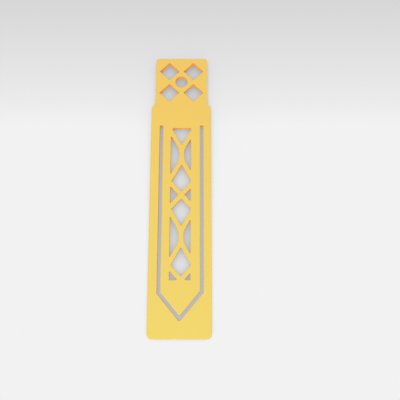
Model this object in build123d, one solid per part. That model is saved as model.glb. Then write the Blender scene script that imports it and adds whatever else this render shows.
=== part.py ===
from build123d import *
import math
import os

# A flat page-clip bookmark: one sheet of yellow plastic lying on its back, head towards +Y.
# The origin is under the middle of the sheet. Heights along Y are first worked out from the foot edge.

# Sheet
length = 98.4
width = 21.0
thickness = 2.0
corner_radius = 1.8

# Head, a little narrower than the body, and the holes that pierce it
head_step = 1.25
head_radius = 1.1
neck_length = 1.06
ornament_top = 1.55
ornament_margin = 1.39
ornament_squash = 0.965
ornament_web = 1.35
hole_radius = 2.15

# Frame round the tongue, and the slot of one width that frees the tongue on both sides and at its point.
# The slot's sides lie a little to the right of the sheet's middle; its point stays in the middle.
shoulder_length = 8.04
rail_width = 2.87
slot_width = 1.15
slot_shift = 0.19
foot_margin = 5.5

# Tongue, with a long window above its point
point_length = 7.7
tip_length = 3.75
stile_width = 2.98
window_drop = 0.9

# Crossing bars that fill the window
bar_width = 1.54
spine_width = 1.75
spine_length = 3.8
spine_drop = 9.91
bend_overlap = 0.85
lattice_shift = 0.32
crossing_steps = 3

# Head: the ornament keeps a margin to the top and to both sides, and a neck below it.
# The diamonds are a little wider than high. Their size fills what the margin, the web and the round hole leave.
head_width = width - 2 * head_step
ornament_reach = head_width / 2 - ornament_margin
ornament_drop = ornament_top + ornament_squash * ornament_reach
head_length = ornament_drop + ornament_squash * ornament_reach + neck_length
diamond_half = (2 * ornament_reach - (hole_radius + ornament_web) * math.hypot(1, 1 / ornament_squash)) / 3
diamond_rise = ornament_squash * diamond_half
diamond_offset = ornament_reach - diamond_half

# Widths of the opening in the frame, of the tongue and of its window
opening_half = width / 2 - rail_width
tongue_half = opening_half - slot_width
window_half = tongue_half - stile_width

# Heights of the head and the slot
shoulder_y = length - head_length
slot_end_y = shoulder_y - shoulder_length
ornament_y = length - ornament_drop

# The slot keeps its width round the point, so its outer V lies lower by the slanted width.
point_slope = point_length / tongue_half
tip_y = foot_margin + slot_width * math.hypot(1, point_slope)
tongue_corner_y = tip_y + point_length
opening_corner_y = foot_margin + (opening_half + slot_shift) * point_slope

# Window and lattice: the first spine hangs below the window's top, the last X lies on its foot edge.
window_top_y = slot_end_y - window_drop
window_foot_y = tongue_corner_y + tip_length
first_spine_y = window_top_y - spine_drop
crossing_pitch = (first_spine_y - window_foot_y) / crossing_steps
bend_rise = crossing_pitch / 3
bend_reach = window_half + bend_overlap


def box_between(x_low, x_high, y_low, y_high):
    """A rectangle given by its sides."""
    middle = ((x_low + x_high) / 2, (y_low + y_high) / 2)
    return Pos(*middle) * Rectangle(x_high - x_low, y_high - y_low)


def band(y_low, y_high):
    """The stretch of the sheet between two heights."""
    return box_between(-width / 2, width / 2, y_low, y_high)


def pointed(half, apex_y):
    """A strip that runs from the slot's end down to a point; its two slants are alike."""
    left_x, right_x = slot_shift - half, slot_shift + half
    left = [(left_x, slot_end_y), (left_x, apex_y - left_x * point_slope)]
    right = [(right_x, apex_y + right_x * point_slope), (right_x, slot_end_y)]
    return Polygon(*left, (0, apex_y), *right, align=None)


def bar(start, end):
    """A straight lattice bar between two points."""
    run_x = end[0] - start[0]
    run_y = end[1] - start[1]
    middle = ((start[0] + end[0]) / 2, (start[1] + end[1]) / 2)
    turn = math.degrees(math.atan2(run_y, run_x))
    return Pos(*middle) * Rot(0, 0, turn) * Rectangle(math.hypot(run_x, run_y), bar_width)


def sheet_outline():
    """Body and head, each with rounded corners; the head runs down into the shoulder."""
    body = Pos(0, shoulder_y / 2) * RectangleRounded(width, shoulder_y, corner_radius)
    head_height = length - slot_end_y
    head = Pos(0, length - head_height / 2) * RectangleRounded(head_width, head_height, head_radius)
    return body + head


def ornament():
    """The round hole and the four diamonds around it."""
    corners = [(0, -diamond_rise), (diamond_half, 0), (0, diamond_rise), (-diamond_half, 0)]
    holes = Pos(0, ornament_y) * Circle(hole_radius)
    for side in (-1, 1):
        for level in (-1, 1):
            place = Pos(side * diamond_offset, ornament_y + level * ornament_squash * diamond_offset)
            holes += place * Polygon(*corners, align=None)
    return holes


def lattice():
    """Zigzag bars that cross in an X and run together in a spine, turn by turn, cut off at the window.

    The bars bend just past the window's sides, so the bends lie inside the stiles.
    """
    node_rise = crossing_pitch - spine_length / 2
    net = Sketch()
    for step in range(1, crossing_steps + 1):
        level_y = window_foot_y + step * crossing_pitch
        if step % 2:
            net += Pos(0, level_y) * Rectangle(spine_width, spine_length + bar_width)
    for step in range(0, crossing_steps + 2, 2):
        cross_y = window_foot_y + step * crossing_pitch
        for side in (-1, 1):
            reach = side * bend_reach
            net += bar((-reach, cross_y - bend_rise), (reach, cross_y + bend_rise))
            for way in (-1, 1):
                net += bar((reach, cross_y + way * bend_rise), (0, cross_y + way * node_rise))
    return Pos(lattice_shift, 0) * net


outline = sheet_outline()
frame = outline - pointed(opening_half, foot_margin)
tongue = pointed(tongue_half, tip_y)
window = box_between(-window_half, window_half, window_foot_y, window_top_y)
bars = lattice() & window
stiles = tongue - window

left_half = box_between(-width / 2, 0, 0, length)
right_half = box_between(0, width / 2, 0, length)
rail_band = band(opening_corner_y, slot_end_y)
root_band = band(first_spine_y, slot_end_y)
stile_band = band(window_foot_y, first_spine_y)

# Each named piece is one region of the sheet; neighbours meet face to face.
regions = {
    "head_tab": (outline & band(shoulder_y, length)) - ornament(),
    "shoulder": frame & band(slot_end_y, shoulder_y),
    "left_rail": frame & rail_band & left_half,
    "right_rail": frame & rail_band & right_half,
    "foot": frame & band(0, opening_corner_y),
    "tongue_root": (stiles + bars) & root_band,
    "left_stile": stiles & stile_band & left_half,
    "right_stile": stiles & stile_band & right_half,
    "lattice": bars & stile_band,
    "tongue_tip": tongue & band(0, window_foot_y),
}

os.makedirs("parts", exist_ok=True)
for name, region in regions.items():
    solid = extrude(Pos(0, -length / 2) * region, thickness)
    export_step(solid, f"parts/{name}.step")
    print(name, round(solid.volume, 2), "mm3")
print("ribbon hole at y", round(ornament_y - length / 2, 4))
print("bend axis at y", round((slot_end_y + first_spine_y) / 2 - length / 2, 4))
print("tongue point at y", round(tip_y - length / 2, 4))
print("diamonds of", round(2 * diamond_half, 3), "by", round(2 * diamond_rise, 3))
print("slot ends at y", round(slot_end_y - length / 2, 4), "and crossing pitch", round(crossing_pitch, 3))
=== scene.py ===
import math

import bmesh
import bpy
import numpy as np
from mathutils.geometry import delaunay_2d_cdt
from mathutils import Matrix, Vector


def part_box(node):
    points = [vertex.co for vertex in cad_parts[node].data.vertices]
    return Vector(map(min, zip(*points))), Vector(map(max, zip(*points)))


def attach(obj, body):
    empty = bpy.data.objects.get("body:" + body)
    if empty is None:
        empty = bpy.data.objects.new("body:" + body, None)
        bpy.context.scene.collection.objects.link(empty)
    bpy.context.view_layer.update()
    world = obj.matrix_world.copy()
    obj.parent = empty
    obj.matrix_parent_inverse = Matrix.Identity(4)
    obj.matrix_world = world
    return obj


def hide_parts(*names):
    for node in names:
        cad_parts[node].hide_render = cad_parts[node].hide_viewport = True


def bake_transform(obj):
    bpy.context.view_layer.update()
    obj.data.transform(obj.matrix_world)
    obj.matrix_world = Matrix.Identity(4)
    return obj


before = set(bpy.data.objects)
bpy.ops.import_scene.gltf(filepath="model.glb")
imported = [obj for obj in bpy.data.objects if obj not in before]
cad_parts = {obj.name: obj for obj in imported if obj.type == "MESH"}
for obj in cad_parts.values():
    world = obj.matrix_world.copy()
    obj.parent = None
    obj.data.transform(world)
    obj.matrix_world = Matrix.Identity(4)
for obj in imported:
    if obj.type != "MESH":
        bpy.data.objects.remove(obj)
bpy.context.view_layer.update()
mm = 0.001


def nodeBox(name):  # lowest and highest corner of a CAD node, in millimetres
    low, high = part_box(name)
    return np.array(low) / mm, np.array(high) / mm


headHigh = nodeBox("head_tab")[1]
shoulderHigh = nodeBox("shoulder")[1]
leftRailHigh = nodeBox("left_rail")[1]
rightRailLow = nodeBox("right_rail")[0]
footLow, footHigh = nodeBox("foot")
rootLow, rootHigh = nodeBox("tongue_root")
tipLow, tipHigh = nodeBox("tongue_tip")
latticeLow, latticeHigh = nodeBox("lattice")
slotEnd = rootHigh[1]

edgeFinish = {  # all edges of the sheet, millimetres
    "thickness": headHigh[2],
    "round": 0.16,          # softened edge between a face and a wall
    "roundSteps": 4,
    "hold": 0.07,           # strip beside the round that keeps its neighbour flat
    "spacing": 1.0,         # longest step along a straight side
    "endStep": 0.1,         # shorter step at both ends of a straight side
    "cutStep": 0.4,         # the same along a parting
    "arcStep": math.radians(11),
    "countSlack": 1e-6,     # keeps a whole number of arc steps from being rounded up
    "cornerShare": 0.45,    # of a side, the most that the arc at one end may take up
    "leastStep": 1e-5,      # points closer than this are one point
    "faceGrid": 1.15,       # spacing of the points inside the faces
    "faceGap": 0.5,         # room between those points and the edges
    "fillTolerance": 1e-7,
    "mergeGap": 0.001,
    "smoothAngle": math.radians(40),
    "rootCut": 0.42,        # how far below the slot's end the tongue is parted from the frame
}
rootCutY = slotEnd - edgeFinish["rootCut"]


# A polygon walked with the material on its left gets one arc per corner, tangent to both its sides.
# A row holds the centre, the radius (positive where the outline bulges out) and the outward normal's
# angle at both ends; a radius that the sides are too short for is made smaller.
def cornerArcs(corners, radius):
    points = np.asarray(corners, float)
    inward = points - np.roll(points, 1, axis=0)
    onward = np.roll(points, -1, axis=0) - points
    inLength = np.linalg.norm(inward, axis=1)
    onLength = np.linalg.norm(onward, axis=1)
    startAngle = np.arctan2(-inward[:, 0], inward[:, 1])
    turn = np.arctan2(-onward[:, 0], onward[:, 1]) - startAngle
    turn = (turn + math.pi) % (2 * math.pi) - math.pi
    halfTan = np.tan(np.abs(turn) / 2)
    reach = np.minimum(radius * halfTan, edgeFinish["cornerShare"] * np.minimum(inLength, onLength))
    signedRadius = np.sign(turn) * reach / halfTan
    startNormal = np.column_stack([np.cos(startAngle), np.sin(startAngle)])
    start = points - inward * (reach / inLength)[:, None]
    centre = start - signedRadius[:, None] * startNormal
    return np.column_stack([centre, signedRadius, startAngle, startAngle + turn])


# Points along a straight side, without its ends: even steps between one short step at each end.
def sidePoints(start, end, shortStep):
    length = np.linalg.norm(end - start)
    if length < 3 * shortStep:
        return np.zeros((0, 2))
    count = max(1, math.ceil((length - 2 * shortStep) / edgeFinish["spacing"]))
    along = np.linspace(shortStep, length - shortStep, count + 1) / length
    return start + along[:, None] * (end - start)


# Walks a row of arcs and the straight sides between them: point = centre + radius * normal on an arc.
# Gives the points, their outward normals and how far inwards each may be carried. With a parting, the last
# side is a plain cut without a softened edge: its normals are zero, and its two ends keep the normals of
# the sides next to them but stop where the quarter round does.
def tracePath(arcs, parting=False):
    arcs = np.array(arcs, float)
    if parting:
        arcs[0, 3] = arcs[0, 4]
        arcs[-1, 4] = arcs[-1, 3]
    points, normals = [], []
    for index, (here, after) in enumerate(zip(arcs, np.roll(arcs, -1, axis=0))):
        count = math.ceil(abs(here[4] - here[3]) / edgeFinish["arcStep"] - edgeFinish["countSlack"])
        angle = np.linspace(here[3], here[4], count + 1)
        normal = np.column_stack([np.cos(angle), np.sin(angle)])
        arc = here[:2] + here[2] * normal
        nextStart = after[:2] + after[2] * np.array([math.cos(after[3]), math.sin(after[3])])
        isCut = parting and index == len(arcs) - 1
        side = sidePoints(arc[-1], nextStart, edgeFinish["cutStep" if isCut else "endStep"])
        points += [arc, side]
        normals += [normal, np.repeat(normal[-1:] * (not isCut), len(side), axis=0)]
    points, normals = np.concatenate(points), np.concatenate(normals)
    deepest = np.full(len(points), np.inf)
    if parting:
        deepest[[0, len(points) - len(side) - 1]] = edgeFinish["round"]
    apart = np.linalg.norm(points - np.roll(points, -1, axis=0), axis=1) > edgeFinish["leastStep"]
    return points[apart], normals[apart], deepest[apart]


# The edge as a profile of insets and heights: a flat strip, a quarter round, the wall, and the same below.
def edgeProfile():
    size, hold, top = edgeFinish["round"], edgeFinish["hold"], edgeFinish["thickness"]
    angle = np.linspace(0, math.pi / 2, edgeFinish["roundSteps"] + 1)
    inset = np.concatenate([[size + hold], size * (1 - np.sin(angle)), [0]])
    drop = np.concatenate([[0], size * (1 - np.cos(angle)), [size + hold]])
    return np.concatenate([inset, inset[::-1]]), np.concatenate([top - drop, drop[::-1]])


# Whether points lie in the material: a ray from each crosses the outlines an odd number of times.
def inMaterial(points, outline, links):
    first, second = outline[links[:, 0]], outline[links[:, 1]]
    height = points[:, 1, None]
    spans = (first[:, 1] > height) != (second[:, 1] > height)
    rise = np.where(first[:, 1] == second[:, 1], 1, second[:, 1] - first[:, 1])
    crossX = first[:, 0] + (height - first[:, 1]) * (second[:, 0] - first[:, 0]) / rise
    return (spans & (crossX > points[:, 0, None])).sum(axis=1) % 2 == 1


# Points of a triangular grid in the material, none nearer to an outline point than the gap.
def facePoints(outline, links):
    step = edgeFinish["faceGrid"]
    low, high = outline.min(axis=0), outline.max(axis=0)
    rows = np.arange(low[1], high[1], step * math.sqrt(3) / 2)
    columns = np.arange(low[0], high[0], step)
    gridX = columns[None, :] + (np.arange(len(rows)) % 2)[:, None] * step / 2
    grid = np.column_stack([gridX.ravel(), np.repeat(rows, len(columns))])
    nearest = np.linalg.norm(grid[:, None] - outline[None], axis=2).min(axis=1)
    return grid[inMaterial(grid, outline, links) & (nearest > edgeFinish["faceGap"])]


# The triangles that fill the material. Triangles that share an edge belong to one region unless an outline
# runs along that edge, and a region counts if it has an outline on its edge in the outline's own direction.
def fillTriangles(points, links):
    filled = delaunay_2d_cdt(points.tolist(), links.tolist(), [], 0, edgeFinish["fillTolerance"], True)
    source = np.array([ids[0] for ids in filled[3]])
    triangles = source[np.array(filled[2])]
    edges = np.concatenate([triangles[:, [0, 1]], triangles[:, [1, 2]], triangles[:, [2, 0]]])
    owner = np.tile(np.arange(len(triangles)), 3)
    total = len(points)
    key = edges.min(axis=1) * total + edges.max(axis=1)
    fixed = np.isin(key, links.min(axis=1) * total + links.max(axis=1))
    forward = np.isin(edges @ (total, 1), links @ (total, 1))
    order = np.argsort(key, kind="stable")
    shared = (key[order[1:]] == key[order[:-1]]) & ~fixed[order[1:]]
    left, right = owner[order[:-1][shared]], owner[order[1:][shared]]
    region, before = np.arange(len(triangles)), None
    while not np.array_equal(region, before):
        before = region.copy()
        lowest = np.minimum(region[left], region[right])
        np.minimum.at(region, left, lowest)
        np.minimum.at(region, right, lowest)
        region = region[region]
    return triangles[np.isin(region, region[owner[forward]])]


# A flat plate: the edge profile is carried along every outline, point - inset * normal at each height,
# and the upper and lower faces are filled with triangles between the innermost strips.
def plateMesh(name, paths):
    inset, height = edgeProfile()
    rings = len(inset)
    vertices, quads, rims, start = [], [], [], 0
    for points, normals, deepest in paths:
        count = len(points)
        flat = points[None] - np.minimum(inset[:, None], deepest)[..., None] * normals[None]
        level = np.broadcast_to(height[:, None, None], (rings, count, 1))
        vertices.append(np.concatenate([flat, level], axis=2).reshape(-1, 3))
        index = start + np.arange(rings * count).reshape(rings, count)
        ahead = np.roll(index, -1, axis=1)
        quads.append(np.stack([index[:-1], index[1:], ahead[1:], ahead[:-1]], axis=2).reshape(-1, 4))
        rims.append((index[0], index[-1]))
        start += rings * count
    vertices = np.concatenate(vertices)
    topRim = np.concatenate([rim[0] for rim in rims])
    lowRim = np.concatenate([rim[1] for rim in rims])
    outline = vertices[topRim, :2]
    ends = np.cumsum([len(rim[0]) for rim in rims])
    begins = np.concatenate([[0], ends[:-1]])
    links = [np.stack([np.arange(a, b), np.roll(np.arange(a, b), -1)], axis=1) for a, b in zip(begins, ends)]
    links = np.concatenate(links)
    inner = facePoints(outline, links)
    flat = np.concatenate([outline, inner])
    triangles = fillTriangles(flat, links)
    innerTop = start + np.arange(len(inner))
    innerLow = innerTop + len(inner)
    topIds = np.concatenate([topRim, innerTop])
    lowIds = np.concatenate([lowRim, innerLow])
    level = np.repeat([height[0], height[-1]], len(inner))
    vertices = np.concatenate([vertices, np.column_stack([np.tile(inner, (2, 1)), level])])
    faces = np.concatenate(quads).tolist() + topIds[triangles].tolist()
    faces += lowIds[triangles][:, ::-1].tolist()
    mesh = bpy.data.meshes.new(name)
    mesh.from_pydata((vertices * mm).tolist(), [], faces)
    merged = bmesh.new()    # on the parting's plain edge the first two strips lie on each other
    merged.from_mesh(mesh)
    bmesh.ops.remove_doubles(merged, verts=merged.verts, dist=edgeFinish["mergeGap"] * mm)
    merged.to_mesh(mesh)
    merged.free()
    mesh.shade_smooth()
    mesh.set_sharp_from_angle(angle=edgeFinish["smoothAngle"])
    # a mask, one on the walls and nothing on the faces, that carries the painted bounce light of the
    # material
    places = np.empty((len(mesh.vertices), 3))
    mesh.vertices.foreach_get("co", places.ravel())
    half = edgeFinish["thickness"] / 2
    depth = (half - np.abs(places[:, 2] / mm - half)) / edgeFinish["round"]
    mesh.attributes.new("paintedBounceMask", "FLOAT", "POINT").data.foreach_set("value", np.clip(depth, 0, 1))
    plate = bpy.data.objects.new(name, mesh)
    bpy.context.scene.collection.objects.link(plate)
    print(name, len(mesh.vertices), "points,", len(mesh.polygons), "faces")
    return plate


# Sheet frame: head, shoulders, rails and foot in one plate

sheetFrame = {  # millimetres
    "cornerRadius": 1.8,
    "headRadius": 1.1,
    "neckFillet": 0.4,      # where a rounded shoulder runs into the side of the head
    "ornamentTop": 1.55,    # margin above the ornament
    "ornamentMargin": 1.39,     # margin at its sides
    "ornamentSquash": 0.965,    # height of the ornament to its width
    "ornamentWeb": 1.35,
    "holeRadius": 2.15,
    "holeCorner": 0.14,
    "slotCorner": 0.2,
    "notchCorner": 0.5,
    "footMargin": 5.5,
}


# The shoulder's arc meets the head's side in a small fillet: the fillet's centre lies one fillet beside
# the head and the sum of both radii from the shoulder's centre.
def frameOutline(part):
    half, headHalf = shoulderHigh[0], headHigh[0]
    radius, fillet, headRadius = part["cornerRadius"], part["neckFillet"], part["headRadius"]
    bodyX, headX = half - radius, headHalf - headRadius
    shoulderY, headY, footY = shoulderHigh[1] - radius, headHigh[1] - headRadius, footLow[1] + radius
    filletX = headHalf + fillet
    lift = math.sqrt((radius + fillet) ** 2 - (filletX - bodyX) ** 2)
    lean = math.atan2(lift, filletX - bodyX)
    quarter = math.pi / 2
    return [
        [bodyX, footY, radius, -quarter, 0],
        [bodyX, shoulderY, radius, 0, lean],
        [filletX, shoulderY + lift, -fillet, lean, 0],
        [headX, headY, headRadius, 0, quarter],
        [-headX, headY, headRadius, quarter, math.pi],
        [-filletX, shoulderY + lift, -fillet, math.pi, math.pi - lean],
        [-bodyX, shoulderY, radius, math.pi - lean, math.pi],
        [-bodyX, footY, radius, math.pi, math.pi + quarter],
    ]


# The slot's outer edge: from the parting up to the slot's end, down the rail, round the V and up again.
# The slot lies a little to the right but its V does not, so the left end of the V is the lower one.
def slotOutline(part):
    leftX, rightX = leftRailHigh[0], rightRailLow[0]
    apexY = footLow[1] + part["footMargin"]
    leftY = apexY - leftX * (footHigh[1] - apexY) / rightX
    corners = [(rootHigh[0], rootCutY), (rootHigh[0], slotEnd), (rightX, slotEnd), (rightX, footHigh[1])]
    corners += [(0, apexY), (leftX, leftY), (leftX, slotEnd), (rootLow[0], slotEnd), (rootLow[0], rootCutY)]
    slot, notch = part["slotCorner"], part["notchCorner"]
    return cornerArcs(corners, np.array([0, slot, slot, notch, notch, notch, slot, slot, 0]))


# Four diamonds, a little wider than high, around a round hole; their size fills what the margin, the web
# and the round hole leave of the head's half width.
def ornamentPaths(part):
    squash = part["ornamentSquash"]
    reach = headHigh[0] - part["ornamentMargin"]
    centreY = headHigh[1] - part["ornamentTop"] - squash * reach
    half = (2 * reach - (part["holeRadius"] + part["ornamentWeb"]) * math.hypot(1, 1 / squash)) / 3
    offset = reach - half
    diamond = half * np.array([(0, squash), (1, 0), (0, -squash), (-1, 0)])
    places = [(x, centreY + squash * y) for x in (-offset, offset) for y in (-offset, offset)]
    paths = [tracePath(cornerArcs(diamond + np.array(place), part["holeCorner"])) for place in places]
    paths.append(tracePath([[0, centreY, -part["holeRadius"], 0, -2 * math.pi]]))
    return paths


framePaths = [tracePath(frameOutline(sheetFrame)), tracePath(slotOutline(sheetFrame), parting=True)]
framePlate = plateMesh("sheet_frame", framePaths + ornamentPaths(sheetFrame))


# Page tongue: its root, stiles, point and the crossing bars in its window

pageTongue = {  # millimetres
    "pointLength": 7.7,
    "pointCorner": 0.38,
    "windowDrop": 0.9,
    "barWidth": 1.54,
    "spineWidth": 1.75,
    "spineLength": 3.8,
    "bendOverlap": 0.85,
    "latticeShift": 0.32,
    "crossingSteps": 3,
    "sideCorner": 0.14,     # of the openings at the stiles
    "barCorner": 0.22,      # of the openings between bars
    "spineCurve": 5.0,      # where a bar runs into a spine
    "leastSide": 0.02,      # shorter sides of an opening are left out
}


# The part of a polygon on the normal's side of a line, further from it than the clearance.
def clipped(polygon, anchor, normal, clearance):
    direction = np.array(normal) / np.linalg.norm(normal)
    height = (polygon - anchor) @ direction - clearance
    nextHeight, nextPoint = np.roll(height, -1), np.roll(polygon, -1, axis=0)
    crossing = (height > 0) != (nextHeight > 0)
    share = np.where(crossing, height, 0) / np.where(crossing, height - nextHeight, 1)
    cut = polygon + share[:, None] * (nextPoint - polygon)
    keep = np.column_stack([height > 0, crossing]).ravel()
    return np.column_stack([polygon, cut]).reshape(-1, 2)[keep]


# Each opening of the lattice is the window clipped by the bars around it. Flat bars cross in an X at every
# second step and bend inside the stiles, a third of a step above and below the X; from there steep bars run
# to the spines between the crossings.
def latticeOpenings(part):
    side, top, foot = latticeHigh[0], slotEnd - part["windowDrop"], latticeLow[1]
    window = np.array([(-side, foot), (-side, top), (side, top), (side, foot)])
    pitch = (latticeHigh[1] - foot) / part["crossingSteps"]
    reach, rise = side + part["bendOverlap"], pitch / 3
    nodeRise = pitch - part["spineLength"] / 2
    steep = nodeRise - rise
    halfBar, shift = part["barWidth"] / 2, part["latticeShift"]
    openings = []
    for step in range(part["crossingSteps"] + 2):
        middle = np.array([shift, foot + step * pitch])
        for way in (-1, 1):
            if step % 2:    # beside a spine
                walls = [(middle, (way, 0), part["spineWidth"] / 2)]
                for end in (-1, 1):
                    node = middle + (0, end * part["spineLength"] / 2)
                    walls.append((node, (way * steep, -end * reach), halfBar))
                openings.append(walls)
                continue
            node = middle + (0, way * nodeRise)
            kite = [(middle, (rise, way * reach), halfBar), (middle, (-rise, way * reach), halfBar)]
            kite += [(node, (steep, -way * reach), halfBar), (node, (-steep, -way * reach), halfBar)]
            notch = [(middle, (way * rise, -reach), halfBar), (middle, (way * rise, reach), halfBar)]
            openings += [kite, notch]
    polygons = []
    for walls in openings:
        polygon = window
        for anchor, normal, clearance in walls:
            polygon = clipped(polygon, anchor, normal, clearance)
        gap = np.linalg.norm(polygon - np.roll(polygon, -1, axis=0), axis=1)
        polygon = polygon[gap > part["leastSide"]]
        if len(polygon) > 2:
            polygons.append(polygon)
    return polygons


# The tongue's own edge: down one side from the parting, round the point and up the other. The slope is the
# point's length over half the tongue's width, the same on both sides.
def tongueOutline(part):
    left, right, pointY = tipLow[0], tipHigh[0], tipLow[1]
    slope = 2 * part["pointLength"] / (right - left)
    corners = [(left, rootCutY), (left, pointY - left * slope), (0, pointY)]
    corners += [(right, pointY + right * slope), (right, rootCutY)]
    point = part["pointCorner"]
    return cornerArcs(corners, np.array([0, point, point, point, 0]))


# One radius for each corner of an opening, by where the corner lies: on a spine, on a stile or between bars.
def openingRadii(polygon, part):
    atSpine = np.isclose(np.abs(polygon[:, 0] - part["latticeShift"]), part["spineWidth"] / 2)
    atStile = np.isclose(np.abs(polygon[:, 0]), latticeHigh[0])
    return np.select([atSpine, atStile], [part["spineCurve"], part["sideCorner"]], part["barCorner"])


tonguePaths = [tracePath(tongueOutline(pageTongue), parting=True)]
for opening in latticeOpenings(pageTongue):
    tonguePaths.append(tracePath(cornerArcs(opening, openingRadii(opening, pageTongue))))
tonguePlate = plateMesh("page_tongue", tonguePaths)
print("lattice openings:", len(tonguePaths) - 1)


# Finishes

class Dye:  # one socket of a node tree, with plain arithmetic on values
    def __init__(self, tree, socket=None):
        self.tree = tree
        self.socket = socket

    def node(self, kind, settings, sockets, output=0):
        made = self.tree.nodes.new(kind)
        for name, value in settings.items():
            setattr(made, name, value)
        for name, value in sockets.items():
            if isinstance(value, Dye):
                self.tree.links.new(value.socket, made.inputs[name])
            else:
                made.inputs[name].default_value = value
        return Dye(self.tree, made.outputs[output] if made.outputs else None)

    def sum(self, operation, first, second):
        return self.node("ShaderNodeMath", {"operation": operation}, {0: first, 1: second})

    def __add__(self, other):
        return self.sum("ADD", self, other)

    def __radd__(self, other):
        return self.sum("ADD", other, self)

    def __sub__(self, other):
        return self.sum("SUBTRACT", self, other)

    def __rsub__(self, other):
        return self.sum("SUBTRACT", other, self)

    def __mul__(self, other):
        return self.sum("MULTIPLY", self, other)

    def __rmul__(self, other):
        return self.sum("MULTIPLY", other, self)


def linearColour(red, green, blue):  # screen values from 0 to 255 as the light they stand for
    value = np.array([red, green, blue]) / 255
    light = np.where(value <= 0.04045, value / 12.92, ((value + 0.055) / 1.055) ** 2.4)
    return (*light.tolist(), 1.0)


def newMaterial(name):
    material = bpy.data.materials.new(name)
    material.use_nodes = True
    material.node_tree.nodes.clear()
    return material, Dye(material.node_tree)


def finishMaterial(dye, shader):
    dye.node("ShaderNodeOutputMaterial", {}, {"Surface": shader})


def noise(dye, place, scale, detail):
    return dye.node("ShaderNodeTexNoise", {}, {"Vector": place, "Scale": scale, "Detail": detail}, "Fac")


def mixColour(dye, blend, share, first, second):  # Mix node: factor, colours A and B
    return dye.node("ShaderNodeMix", {"data_type": "RGBA", "blend_type": blend},
                    {0: share, 6: first, 7: second}, 2)


yellowPlastic = {
    # the plastic's own yellow with painted shade: darker and more orange from the foot to the head, as if
    # less light reached the head
    "footToneLit": (240, 212, 102),
    "headToneShaded": (245, 203, 98),
    "cloudScale": 70,       # per metre
    "cloudDetail": 3,
    "grainScale": 2600,
    "rippleScale": 420,
    "fineDetail": 2,        # of grain and ripple
    "toneLevel": 0.975,     # of the tone, to which cloud and grain add
    "cloudTone": 0.03,
    "grainTone": 0.02,
    "footPaintedBounce": (250, 211, 114),    # painted bounce light: the walls a deeper orange than the faces
    "headPaintedBounce": (249, 184, 92),
    "roughness": 0.5,
    "cloudRoughness": 0.1,
    "grainRoughness": 0.12,
    "bumpStrength": 0.22,
    "bumpDepth": 0.03,      # millimetres
    "grainHeight": 0.7,
    "rippleHeight": 0.6,
    "refraction": 1.48,
    "specular": 0.35,
}


def makeYellowPlastic(part):
    material, dye = newMaterial("yellow_plastic")
    place = dye.node("ShaderNodeTexCoord", {}, {}, "Object")
    lengthwise = dye.node("ShaderNodeSeparateXYZ", {}, {"Vector": place}, "Y")
    along = dye.node("ShaderNodeMapRange", {"clamp": True}, {
        "Value": lengthwise, "From Min": footLow[1] * mm, "From Max": headHigh[1] * mm})
    cloud = noise(dye, place, part["cloudScale"], part["cloudDetail"])
    grain = noise(dye, place, part["grainScale"], part["fineDetail"])
    ripple = noise(dye, place, part["rippleScale"], part["fineDetail"])
    # painted shade: the faces run from the lit foot tone to the darker head tone along the sheet
    plasticWithFalloff = mixColour(dye, "MIX", along, linearColour(*part["footToneLit"]), linearColour(*part["headToneShaded"]))
    # painted bounce light: the walls take a deeper orange tone, as light bounced between them would give
    wallPaintedBounce = mixColour(dye, "MIX", along, linearColour(*part["footPaintedBounce"]), linearColour(*part["headPaintedBounce"]))
    paintedBounceMask = dye.node("ShaderNodeAttribute", {"attribute_name": "paintedBounceMask"}, {}, "Fac")
    tone = mixColour(dye, "MIX", paintedBounceMask, plasticWithFalloff, wallPaintedBounce)
    mottle = part["toneLevel"] + part["cloudTone"] * cloud + part["grainTone"] * grain
    tone = mixColour(dye, "MULTIPLY", 1.0, tone, mottle)
    unevenness = part["cloudRoughness"] * (cloud - 0.5) + part["grainRoughness"] * (grain - 0.5)
    bump = dye.node("ShaderNodeBump", {}, {
        "Strength": part["bumpStrength"], "Distance": part["bumpDepth"] * mm,
        "Height": part["grainHeight"] * grain + part["rippleHeight"] * ripple})
    shader = dye.node("ShaderNodeBsdfPrincipled", {}, {
        "Base Color": tone, "Roughness": part["roughness"] + unevenness, "Normal": bump,
        "IOR": part["refraction"], "Specular IOR Level": part["specular"]})
    finishMaterial(dye, shader)
    return material


plasticFinish = makeYellowPlastic(yellowPlastic)
framePlate.data.materials.append(plasticFinish)
tonguePlate.data.materials.append(plasticFinish)

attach(framePlate, "frame")
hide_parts("head_tab", "shoulder", "left_rail", "right_rail", "foot")
rootCutY * mm
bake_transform(tonguePlate)
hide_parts("tongue_root", "left_stile", "right_stile", "lattice", "tongue_tip")


# Pale table

paleTable = {
    "half": 3.0,            # metres
    "gridLines": 9,
    "below": 0.00001,
    "white": 242,           # screen value that the table never goes above
    "nearY": -0.0591,       # metres, where the table is brightest
    "nearGain": 0.12,
    "fadeY": 0.0243,        # from here to the far line it turns grey
    "farY": 0.079,
    "farDrop": 0.225,
    "farPower": 0.8,
    "backdrop": 0.72,       # level that the table and the studio behind it run out to
    "fadeStart": 0.14,      # metres from the middle
    "fadeEnd": 0.7,
    "shadowReach": 0.02,    # metres
    "skySamples": 8,
    "skyTilt": 50,          # degrees, how far the four side looks at the sky lean over
    "skyShares": (0.55, 0.27, 0.18),    # of the sky straight up, towards the head and towards the foot
    "sideShare": 0.72,      # how far light from an open side fills a shadow
    "sidePower": 6,
    "shadowLift": 0.37,     # how much the deepest shadows are lightened
    "paperLevel": 0.997,
    "paperGrain": 0.006,
    "paperScale": 900,      # per metre
    "paperDetail": 3,
    "bounceTone": (236, 236, 236),
}


def openSky(dye, part, facing):  # share of the sky around a direction that nothing above the table hides
    normal = dye.node("ShaderNodeCombineXYZ", {}, dict(zip("XYZ", facing)))
    return dye.node("ShaderNodeAmbientOcclusion", {"samples": part["skySamples"]},
                    {"Distance": part["shadowReach"], "Normal": normal}, "AO")


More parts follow.
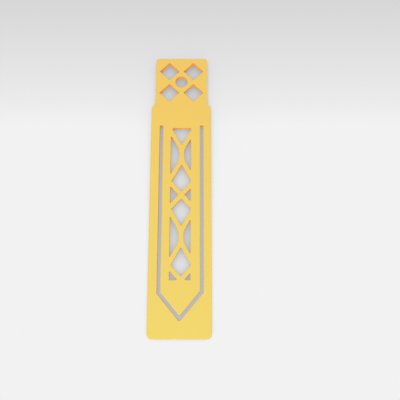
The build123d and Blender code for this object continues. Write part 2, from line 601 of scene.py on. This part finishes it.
def seenDirectly(dye):  # one for what the camera sees, also mirrored or through the surface, zero for light
    rays = ("Is Camera Ray", "Is Glossy Ray", "Is Transmission Ray")
    camera, mirrored, through = [dye.node("ShaderNodeLightPath", {}, {}, name) for name in rays]
    return dye.sum("MAXIMUM", dye.sum("MAXIMUM", camera, mirrored), through)


# A flat grid of points. To the camera it glows with a painted falloff, darker towards the head, and a
# painted shadow: less what the sheet above it takes away of the open sky; to other rays it is plain pale
# paper.
def makePaleTable(part):
    side = np.linspace(-part["half"], part["half"], part["gridLines"])
    gridX, gridY = np.meshgrid(side, side)
    vertices = np.column_stack([gridX.ravel(), gridY.ravel(), np.full(gridX.size, -part["below"])])
    index = np.arange(gridX.size).reshape(gridX.shape)
    faces = np.stack([index[:-1, :-1], index[:-1, 1:], index[1:, 1:], index[1:, :-1]], axis=2).reshape(-1, 4)
    mesh = bpy.data.meshes.new("pale_table")
    mesh.from_pydata(vertices.tolist(), [], faces.tolist())
    table = bpy.data.objects.new("pale_table", mesh)
    bpy.context.scene.collection.objects.link(table)
    material, dye = newMaterial("pale_table")
    place = dye.node("ShaderNodeTexCoord", {}, {}, "Object")
    lengthwise = dye.node("ShaderNodeSeparateXYZ", {}, {"Vector": place}, "Y")
    # painted falloff: the table is brightest towards the foot and turns greyer towards the head
    near, far = [dye.node("ShaderNodeMapRange", {"clamp": True}, {
        "Value": lengthwise, "From Min": part["fadeY"], "From Max": part[end]}) for end in ("nearY", "farY")]
    white = linearColour(part["white"], 0, 0)[0]
    level = white + part["nearGain"] * near - part["farDrop"] * dye.sum("POWER", far, part["farPower"])
    away = dye.node("ShaderNodeVectorMath", {"operation": "LENGTH"}, {0: place}, "Value")
    fade = dye.node("ShaderNodeMapRange", {"interpolation_type": "SMOOTHSTEP"}, {
        "Value": away, "From Min": part["fadeStart"], "From Max": part["fadeEnd"]})
    level = level + fade * (part["backdrop"] - level)
    tilt = math.radians(part["skyTilt"])
    # painted shadow of the sheet on the table, from how much of the sky it hides
    upright = openSky(dye, part, (0, 0, 1))
    left, right, back, front = [openSky(dye, part, (x * math.sin(tilt), y * math.sin(tilt), math.cos(tilt)))
                                for x, y in ((-1, 0), (1, 0), (0, 1), (0, -1))]
    clearest = dye.sum("MAXIMUM", dye.sum("MAXIMUM", left, right), dye.sum("MAXIMUM", back, front))
    above, headward, footward = part["skyShares"]
    sky = above * upright + headward * back + footward * front
    sky = sky + part["sideShare"] * dye.sum("POWER", clearest, part["sidePower"]) * (1 - sky)
    sky = sky + part["shadowLift"] * (1 - sky) * (1 - sky)
    paperNoise = noise(dye, place, part["paperScale"], part["paperDetail"])
    glow = dye.sum("MINIMUM", level * sky, white) * (part["paperLevel"] + part["paperGrain"] * paperNoise)
    shown = dye.node("ShaderNodeEmission", {}, {"Color": glow})
    paper = dye.node("ShaderNodeBsdfDiffuse", {}, {"Color": linearColour(*part["bounceTone"])})
    finishMaterial(dye, dye.node("ShaderNodeMixShader", {}, {0: seenDirectly(dye), 1: paper, 2: shown}))
    mesh.materials.append(material)


makePaleTable(paleTable)


# Light and camera

studioLight = {
    "sky": 0.62,
    "boxPlace": (-0.2, -0.62, 0.96),
    "boxSide": 0.9,
    "boxPower": 7.25,
}


def makeStudioLight(part):
    scene = bpy.context.scene
    scene.world = bpy.data.worlds.new("studio")
    scene.world.use_nodes = True
    scene.world.node_tree.nodes.clear()
    dye = Dye(scene.world.node_tree)
    level = part["sky"] + seenDirectly(dye) * (paleTable["backdrop"] - part["sky"])
    background = dye.node("ShaderNodeBackground", {}, {"Color": (1, 1, 1, 1), "Strength": level})
    dye.node("ShaderNodeOutputWorld", {}, {"Surface": background})
    lamp = bpy.data.lights.new("soft_box", "AREA")
    lamp.shape = "SQUARE"
    lamp.size = part["boxSide"]
    lamp.energy = part["boxPower"]
    box = bpy.data.objects.new("soft_box", lamp)
    box.location = part["boxPlace"]
    aim = -box.location
    box.rotation_euler = aim.to_track_quat("-Z", "Y").to_euler()
    scene.collection.objects.link(box)
    scene.view_settings.view_transform = "Standard"


photoCamera = {
    "focus": 485.0,         # focal length in pixels of a 400 pixel frame
    "framePixels": 400,
    "sensor": 36.0,
    "elevation": 76.6586,   # degrees
    "target": (0.0066443, -0.0036442, 0.002),    # where the middle of the view meets the front face
    "distance": 0.1644777,
    "nearClip": 0.01,
    "farClip": 20,
}


def makeCamera(part):
    lens = bpy.data.cameras.new("photo_camera")
    lens.sensor_width = part["sensor"]
    lens.lens = part["focus"] * part["sensor"] / part["framePixels"]
    lens.clip_start, lens.clip_end = part["nearClip"], part["farClip"]
    camera = bpy.data.objects.new("photo_camera", lens)
    tilt = math.radians(part["elevation"])
    back = np.array([0, -math.cos(tilt), math.sin(tilt)])
    camera.location = np.array(part["target"]) + part["distance"] * back
    camera.rotation_euler = (math.pi / 2 - tilt, 0, 0)
    bpy.context.scene.collection.objects.link(camera)
    bpy.context.scene.camera = camera


makeStudioLight(studioLight)
makeCamera(photoCamera)
print("table, light and camera set")
